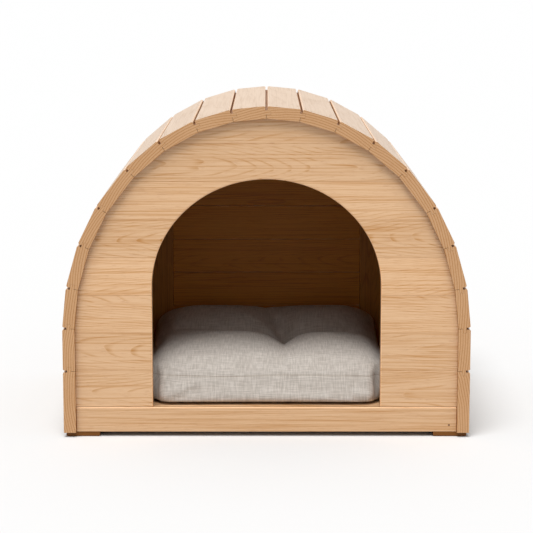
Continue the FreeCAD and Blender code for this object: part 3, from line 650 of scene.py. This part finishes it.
cover_low, cover_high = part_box("cushion_cover")
cushion_middle = (cover_low + cover_high) / 2
SEAM_HEIGHT = 0.042
CROWN_HEIGHT = 0.086
BACK_LIFT = 0.013
HALF_WIDTH = 0.186
HALF_DEPTH = 0.183
WAIST = 0.012
PLAN_POWER = 16.0
TOP_POWER = 2.9
BASE_POWER = 11.0
FRONT_BULGE = 0.022
BULGE_REACH = 0.1655
BULGE_POWER = 36.0
BULGE_AT_SEAM = 0.4
BULGE_LOWER = 0.6
FRONT_POWER = 4
TUFT = np.array((0.027, 0.006))
REAR_SLANT = 0.2
TUFT_DEPTH = 0.016
TUFT_WIDTH = 0.03
CHANNEL_DEPTH = 0.031
CHANNEL_WIDTH = 0.032
CHANNEL_REACH = 0.16
REAR_REACH = 0.1
TOP_FADE = 1.5
PAD_ROWS = 64
PAD_TURNS = 160
VOXEL = 0.005
TINY = 1e-9


def superellipse(turn, power):
    """Cosine and sine of a turn raised so that |c|^power + |s|^power is one.

    They are rounded first, so that a quarter turn gives a true zero and closes a pole.
    """
    c, s = np.cos(turn).round(9), np.sin(turn).round(9)
    return np.sign(c) * abs(c) ** (2 / power), np.sign(s) * abs(s) ** (2 / power)


def pad_surface(rows, turns):
    """A boxy pillow on a polar grid: rows run from the middle of the base to that of the top.

    The plan is a superellipse, drawn in between the corners by the waist. From its rim the
    height over and under the seam follows superellipses too, flatter below than above. Its
    front swells into the doorway by a flat bump, nothing at the jambs and full between them,
    and most at the base, where the pad is pressed out by its own weight.
    """
    lift = np.linspace(-math.pi / 2, math.pi / 2, rows)[:, None]
    turn = np.linspace(0, 2 * math.pi, turns, endpoint=False)[None, :]
    across, ahead = superellipse(turn, PLAN_POWER)
    share_top, rise = superellipse(lift, TOP_POWER)
    share_base, drop = superellipse(lift, BASE_POWER)
    share = np.where(lift > 0, share_top, share_base)
    x = HALF_WIDTH * share * across * (1 - WAIST * (1 - ahead ** 2))
    y = HALF_DEPTH * share * ahead * (1 - WAIST * (1 - across ** 2))
    over = rise * (CROWN_HEIGHT - SEAM_HEIGHT + BACK_LIFT * y / HALF_DEPTH)
    between = 1 - np.minimum(abs(x) / BULGE_REACH, 1) ** BULGE_POWER
    pressed = BULGE_AT_SEAM - BULGE_LOWER * np.where(lift > 0, rise, drop)
    y = y - FRONT_BULGE * pressed * between * np.clip(-y / HALF_DEPTH, 0, 1) ** FRONT_POWER
    z = SEAM_HEIGHT + np.where(lift > 0, over, SEAM_HEIGHT * drop * np.ones_like(turn))
    return np.stack([x, y, z], axis=-1)


def polar_mesh(name, points):
    """A closed mesh from a polar grid of points, whose first and last rows are drawn to poles."""
    rows, turns, _ = points.shape
    ring = np.arange(rows * turns).reshape(rows, turns)
    after = np.roll(ring, -1, axis=1)
    quads = np.stack([ring[:-1], after[:-1], after[1:], ring[1:]], axis=-1).reshape(-1, 4)
    mesh = bpy.data.meshes.new(name)
    mesh.from_pydata(points.reshape(-1, 3).tolist(), [], quads.tolist())
    return mesh


def mesh_points(mesh):
    """A mesh's vertices as rows of an array."""
    points = np.empty(len(mesh.vertices) * 3, np.float32)
    mesh.vertices.foreach_get("co", points)
    return points.reshape(-1, 3).astype(float)


def set_points(mesh, points):
    """Put an array of rows back into a mesh's vertices."""
    mesh.vertices.foreach_set("co", points.astype(np.float32).ravel())
    mesh.update()


def apply_modifiers(piece):
    """Make a piece's modifiers part of its mesh."""
    graph = bpy.context.evaluated_depsgraph_get()
    mesh = bpy.data.meshes.new_from_object(piece.evaluated_get(graph))
    piece.modifiers.clear()
    piece.data = mesh


def channel_lines(points):
    """Distance from the nearer of two channels, how much is left of it, and distance from the tuft.

    One channel runs across. The other runs to the back, slanting to the left as it goes, and
    fades sooner there. A channel fades as e to the minus square of the distance from the tuft.
    """
    x, y = (points[:, :2] - TUFT).T
    ahead, across, away = abs(x + REAR_SLANT * np.clip(y, 0, None)), abs(y), np.hypot(x, y)
    reach = np.where((ahead < across) & (y > 0), REAR_REACH, CHANNEL_REACH)
    return np.minimum(ahead, across), np.exp(-((away / reach) ** 2)), away


def on_top(points):
    """A share that is one on the cushion's crown and nothing at its seam."""
    return np.clip((points[:, 2] - SEAM_HEIGHT) / (CROWN_HEIGHT - SEAM_HEIGHT), 0, 1) ** TOP_FADE


def lobes(points):
    """How far the top is drawn down: a pointed dip at the tuft and two crossing channels.

    Each falls off as e to the minus distance, and the channels fade towards the rim.
    """
    near, fading, away = channel_lines(points)
    channel = CHANNEL_DEPTH * fading * np.exp(-near / CHANNEL_WIDTH)
    return on_top(points) * (channel + TUFT_DEPTH * np.exp(-away / TUFT_WIDTH))


PRESSURE = 4.0
STEPS = 20
SWELL_LIMIT = 0.005
HELD_BASE = 0.004
HELD_CHANNEL = 0.004
HELD_TUFT = 0.012
THREAD_HOLD = 0.7
HELD_LEVELS = 10


def held_share(points):
    """How firmly each point is held: the base by the floor, the tuft and channels by thread."""
    near, fading, away = channel_lines(points)
    top = on_top(points)
    base = np.clip(2 - points[:, 2] / HELD_BASE, 0, 1)
    sewn = fading * np.exp(-((near / HELD_CHANNEL) ** 2))
    tuft = np.exp(-((away / HELD_TUFT) ** 2))
    return np.maximum(base, top * np.maximum(THREAD_HOLD * sewn, tuft))


def inflate(piece):
    """Swell the cover with air pressure where nothing holds it, by no more than a limit."""
    start = mesh_points(piece.data)
    held = piece.vertex_groups.new(name="held")
    levels = np.round(held_share(start) * HELD_LEVELS).astype(int)
    for level in range(1, HELD_LEVELS + 1):
        held.add(np.flatnonzero(levels == level).tolist(), level / HELD_LEVELS, "REPLACE")
    cloth = piece.modifiers.new("air", "CLOTH")
    cloth.settings.use_pressure = True
    cloth.settings.uniform_pressure_force = PRESSURE
    cloth.settings.vertex_group_mass = held.name
    cloth.settings.effector_weights.gravity = 0
    for step in range(1, STEPS + 1):
        bpy.context.scene.frame_set(step)
    apply_modifiers(piece)
    moved = mesh_points(piece.data) - start
    reach = np.linalg.norm(moved, axis=1, keepdims=True)
    moved *= np.minimum(1, SWELL_LIMIT / np.maximum(reach, TINY))
    set_points(piece.data, start + moved)
    bpy.context.scene.frame_set(1)


pad_mesh = polar_mesh("tufted_cushion", pad_surface(PAD_ROWS, PAD_TURNS))
cushion = bpy.data.objects.new("tufted_cushion", pad_mesh)
bpy.context.scene.collection.objects.link(cushion)
remesh = cushion.modifiers.new("even", "REMESH")
remesh.mode = "VOXEL"
remesh.voxel_size = VOXEL
apply_modifiers(cushion)
shaped = mesh_points(cushion.data)
shaped[:, 2] -= lobes(shaped)
set_points(cushion.data, shaped)
inflate(cushion)
smooth = cushion.modifiers.new("fine", "SUBSURF")
smooth.levels = smooth.render_levels = 1
apply_modifiers(cushion)

SEAM_WAVE = 0.0008
WAVE_ACROSS = 31
WAVE_AHEAD = 47
WAVE_SLANT = 23
SEAM_PINCH = 0.0003
SEAM_REACH = 0.004
RIM_START = 0.8
HANG_START = 0.75
CORNER_POWER = 24


def rim_share(points):
    """How near each point is to the rim in plan, from nothing in the middle to one outside."""
    x, y = abs(points[:, 0]) / HALF_WIDTH, abs(points[:, 1]) / HALF_DEPTH
    return (x ** PLAN_POWER + y ** PLAN_POWER) ** (1 / PLAN_POWER)


def over_seam(points):
    """Height over the seam, which waves a little along the rim by two sines of the place."""
    x, y, z = points.T
    wave = np.sin(WAVE_ACROSS * x + 1) + np.sin(WAVE_AHEAD * y - WAVE_SLANT * x)
    return z - SEAM_HEIGHT - SEAM_WAVE * wave


def sew_seam(points):
    """Pull the rim in along the seam, by a bell curve of the height over it."""
    pinch = SEAM_PINCH * np.exp(-((over_seam(points) / SEAM_REACH) ** 2))
    plan = points[:, :2]
    outward = plan / np.maximum(np.linalg.norm(plan, axis=1, keepdims=True), TINY)
    drawn = points.copy()
    drawn[:, :2] -= outward * pinch[:, None] * (rim_share(points) > RIM_START)[:, None]
    return drawn


def cloth_place(points):
    """Where each point lies on the flat cloth, in metres, and its height over the seam.

    The top piece of cloth lies flat on the crown; past the rim it hangs down the sides, so
    the drop below the crown is added to X on the left and right and to Y at front and back.
    """
    x, y, z = points.T
    past_x = (abs(x) / HALF_WIDTH) ** CORNER_POWER
    past_y = (abs(y) / HALF_DEPTH) ** CORNER_POWER
    hanging = np.clip((rim_share(points) - HANG_START) / (1 - HANG_START), 0, 1)
    drop = hanging * np.clip(CROWN_HEIGHT - z, 0, None)
    share = past_x / (past_x + past_y + TINY)
    u = x + np.sign(x) * drop * share
    v = y + np.sign(y) * drop * (1 - share)
    return np.stack([u, v, over_seam(points)], axis=-1)


sewn = mesh_points(cushion.data)
cloth = cushion.data.attributes.new("cloth_place", "FLOAT_VECTOR", "POINT")
cloth.data.foreach_set("vector", cloth_place(sewn).astype(np.float32).ravel())
floor_spot = np.array((cushion_middle.x, cushion_middle.y, cover_low.z))
set_points(cushion.data, sew_seam(sewn) + floor_spot)
cushion.data.polygons.foreach_set("use_smooth", np.ones(len(cushion.data.polygons), bool))

FLAX_PALE = (0.655, 0.6, 0.545, 1)
FLAX_DARK = (0.43, 0.383, 0.336, 1)
SEAM_SHADE = (0.84, 0.81, 0.78, 1)
THREAD = 0.0011
THREAD_RELIEF = 0.0005
WEAVE_STRENGTH = 0.6
SLUB_ACROSS = 520.0
SLUB_ALONG = 42.0
SLUB_RELIEF = 0.6
SLUB_TONES = (0.3, 0.7)
CLOUDY_CYCLES = (60.0, 60.0, 0.0)
CLOUDY = 0.12
# Painted shade in the hollows between the threads.
HOLLOW = (0.0, 0.6, 0.35, 0.0)
SEAM_FOLD = (0.0014, 0.0004)
SEAM_SINK = 0.8
LINEN_ROUGHNESS = (0.95, 0.8)
LINEN_SHINE = 0.2
FUZZ = 0.15
FUZZ_ROUGHNESS = 0.5


def plain_weave():
    """Group: threads that cross one over, one under, each thread with slubs of its own tone.

    Thread numbers are the place divided by the pitch. Where the two numbers add up to an even
    one the warp lies on top, and elsewhere the weft; each is round across its own width.
    """
    tree, given, made = new_group(
        "plain_weave", {"Place": "Vector", "Pitch": "Float"}, {"Tone": "Float", "Height": "Float"}
    )
    parts = parts_of(tree, given["Place"])
    u = calc(tree, "DIVIDE", parts[0], given["Pitch"])
    v = calc(tree, "DIVIDE", parts[1], given["Pitch"])
    both = calc(tree, "ADD", calc(tree, "FLOOR", u), calc(tree, "FLOOR", v))
    under = calc(tree, "FLOORED_MODULO", both, 2.0)
    warp_round = calc(tree, "ABSOLUTE", calc(tree, "SINE", calc(tree, "MULTIPLY", u, math.pi)))
    weft_round = calc(tree, "ABSOLUTE", calc(tree, "SINE", calc(tree, "MULTIPLY", v, math.pi)))
    warp = speckle(tree, given["Place"], (SLUB_ACROSS, SLUB_ALONG, 0.0), 2.0)
    weft = speckle(tree, given["Place"], (SLUB_ALONG, SLUB_ACROSS, 0.0), 2.0)
    cloudy = speckle(tree, given["Place"], CLOUDY_CYCLES, 2.0)
    slub = add_node(tree, "Mix", {0: under, 2: warp, 3: weft}).outputs[0]
    height = add_node(tree, "Mix", {0: under, 2: warp_round, 3: weft_round}).outputs[0]
    mean = calc(tree, "MULTIPLY", calc(tree, "ADD", warp, weft), 0.5)
    tone = calc(tree, "MULTIPLY_ADD", slub, 0.5, calc(tree, "MULTIPLY", mean, 0.5))
    tone = calc(tree, "MULTIPLY_ADD", calc(tree, "SUBTRACT", cloudy, 0.5), CLOUDY, tone)
    height = calc(tree, "MULTIPLY_ADD", slub, SLUB_RELIEF, height)
    give(tree, made, {"Tone": tone, "Height": height})
    return tree


def linen():
    """Natural flax cloth on the cloth's place, with painted shade in the hollows and seam fold."""
    material = bpy.data.materials.new("cushion_linen")
    material.use_nodes = True
    tree = material.node_tree
    place = add_node(tree, "Attribute", attribute_name="cloth_place").outputs["Vector"]
    feeds = {"Place": place, "Pitch": THREAD}
    weave = add_node(tree, "Group", feeds, node_tree=plain_weave()).outputs
    colour = tint(tree, ramp(tree, weave["Tone"], *SLUB_TONES), FLAX_DARK, FLAX_PALE)
    hollow = ramp(tree, weave["Height"], *HOLLOW)
    # Painted shade in the hollows of the weave.
    colour = tint(tree, hollow, colour, FLAX_DARK, "MULTIPLY")
    seam = ramp(tree, calc(tree, "ABSOLUTE", parts_of(tree, place)[2]), *SEAM_FOLD)
    colour = tint(tree, seam, colour, SEAM_SHADE, "MULTIPLY")
    shader = tree.nodes["Principled BSDF"]
    tree.links.new(colour, shader.inputs["Base Color"])
    gloss = ramp(tree, weave["Tone"], *SLUB_TONES, *LINEN_ROUGHNESS)
    tree.links.new(gloss, shader.inputs["Roughness"])
    shader.inputs["Specular IOR Level"].default_value = LINEN_SHINE
    shader.inputs["Sheen Weight"].default_value = FUZZ
    shader.inputs["Sheen Roughness"].default_value = FUZZ_ROUGHNESS
    sunk = calc(tree, "SUBTRACT", weave["Height"], calc(tree, "MULTIPLY", seam, SEAM_SINK))
    relief = {"Height": sunk, "Distance": THREAD_RELIEF, "Strength": WEAVE_STRENGTH}
    tree.links.new(add_node(tree, "Bump", relief).outputs[0], shader.inputs["Normal"])
    return material


cushion.data.materials.clear()
cushion.data.materials.append(linen())
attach(cushion, "cushion")
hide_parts("cushion_cover", "cushion_fill")
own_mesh(cushion)


# Stage
# A wide white floor, an even white surround and one soft light from above on the left; the
# camera stands at a person's sitting height.

FLOOR_REACH = 60.0
FLOOR_WHITE = 0.705
FLOOR_BOUNCE = 0.42
SKY = 0.58
WHITE = (1, 1, 1, 1)

floor_mesh = bpy.data.meshes.new("floor")
corners = np.array([(-1, -1, 0), (1, -1, 0), (1, 1, 0), (-1, 1, 0)]) * FLOOR_REACH
floor_mesh.from_pydata(corners.tolist(), [], [(0, 1, 2, 3)])
floor = bpy.data.objects.new("floor", floor_mesh)
bpy.context.scene.collection.objects.link(floor)


def seen_directly(tree):
    """One for rays from the camera, or by way of a mirror or a glass."""
    path = add_node(tree, "LightPath").outputs
    seen = calc(tree, "MAXIMUM", path["Is Camera Ray"], path["Is Glossy Ray"])
    return calc(tree, "MAXIMUM", seen, path["Is Transmission Ray"])


def floor_paint():
    """White floor that keeps the shadow; less of its light comes back to the house."""
    material = bpy.data.materials.new("floor_white")
    material.use_nodes = True
    tree = material.node_tree
    seen = seen_directly(tree)
    shader = tree.nodes["Principled BSDF"]
    grey = (FLOOR_BOUNCE, FLOOR_BOUNCE, FLOOR_BOUNCE, 1)
    white = (FLOOR_WHITE, FLOOR_WHITE, FLOOR_WHITE, 1)
    tree.links.new(tint(tree, seen, grey, white), shader.inputs["Base Color"])
    shader.inputs["Roughness"].default_value = 1.0
    shader.inputs["Specular IOR Level"].default_value = 0.0
    return material


floor_mesh.materials.append(floor_paint())

world = bpy.data.worlds.new("surround")
bpy.context.scene.world = world
world.use_nodes = True
sky_tree = world.node_tree
background = sky_tree.nodes["Background"]
background.inputs["Color"].default_value = WHITE
feeds = {"Value": seen_directly(sky_tree), "To Min": SKY, "To Max": 1.0}
strength = add_node(sky_tree, "MapRange", feeds).outputs[0]
sky_tree.links.new(strength, background.inputs["Strength"])


def soft_sun(name, strength, spread, azimuth, elevation):
    """A distant soft light that comes from an azimuth, 0 at the front, and an elevation."""
    light = bpy.data.lights.new(name, "SUN")
    light.energy = strength
    light.angle = math.radians(spread)
    lamp = bpy.data.objects.new(name, light)
    a, e = math.radians(azimuth), math.radians(elevation)
    source = Vector((math.sin(a) * math.cos(e), -math.cos(a) * math.cos(e), math.sin(e)))
    lamp.rotation_euler = source.to_track_quat("Z", "Y").to_euler()
    bpy.context.scene.collection.objects.link(lamp)


KEY_STRENGTH = 2.85
KEY_SPREAD = 36
KEY_AZIMUTH = -17
KEY_ELEVATION = 67
soft_sun("key", KEY_STRENGTH, KEY_SPREAD, KEY_AZIMUTH, KEY_ELEVATION)

CAMERA_PLACE = (0.0, -2.925, 0.692)
CAMERA_TILT = 9.161
CAMERA_LENS = 126.54
SENSOR_WIDTH = 36
camera_data = bpy.data.cameras.new("camera")
camera_data.lens = CAMERA_LENS
camera_data.sensor_width = SENSOR_WIDTH
camera = bpy.data.objects.new("camera", camera_data)
camera.location = CAMERA_PLACE
camera.rotation_euler = (math.radians(90 - CAMERA_TILT), 0, 0)
bpy.context.scene.collection.objects.link(camera)
bpy.context.scene.camera = camera
bpy.context.scene.view_settings.view_transform = "Standard"
